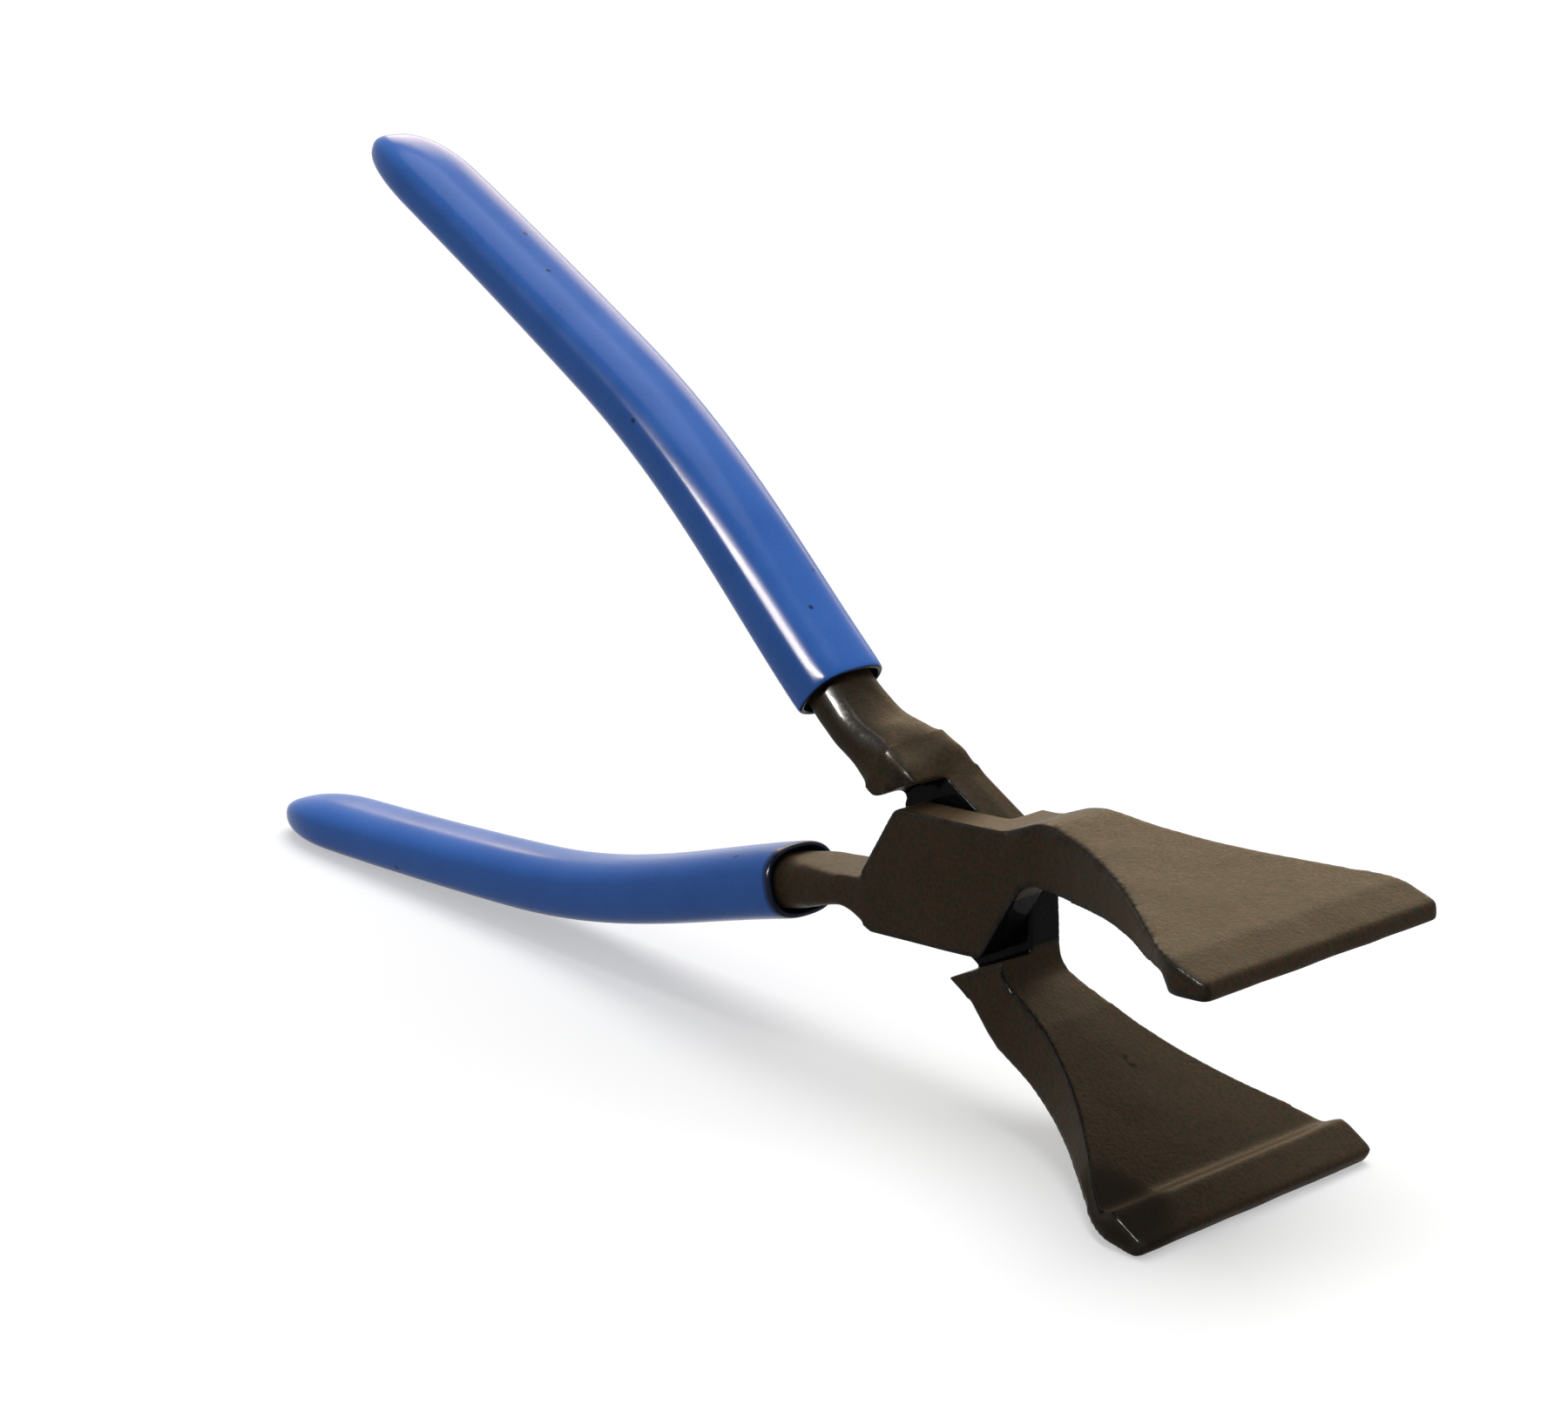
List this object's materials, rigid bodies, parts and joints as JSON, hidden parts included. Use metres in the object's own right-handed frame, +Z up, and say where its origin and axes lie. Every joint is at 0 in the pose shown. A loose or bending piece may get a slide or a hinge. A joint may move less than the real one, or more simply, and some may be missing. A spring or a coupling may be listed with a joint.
{
  "type": "seaming pliers",
  "caption": "Hand pliers with wide flared jaws for bending and seaming sheet metal, a flush lap joint on one rivet and bowed handles in dipped plastic sleeves.",
  "frame": {"origin": "middle of the tool's own box, on the surface that it stands on", "axes": "+X runs from the handle ends to the jaws, +Y along the pivot's axis away from the half whose plate shows, +Z up"},
  "size_m": [0.2648, 0.06, 0.1483],
  "materials": {
    "painted_forging": "satin",
    "painted_rivet": "satin",
    "dipped_plastic": "gloss"
  },
  "bodies": {
    "front_arm": {"front_half": "painted_forging", "pivot_rivet": "painted_rivet", "front_grip": "dipped_plastic"},
    "rear_arm": {"rear_half": "painted_forging", "rear_grip": "dipped_plastic"}
  },
  "joints": [
    {"name": "jaw_pivot", "type": "hinge", "parent": "front_arm", "child": "rear_arm", "pos_m": [0.05731, 0, 0.03906], "axis": [0, 1, 0], "range_deg": [-33.9, 12]}
  ]
}
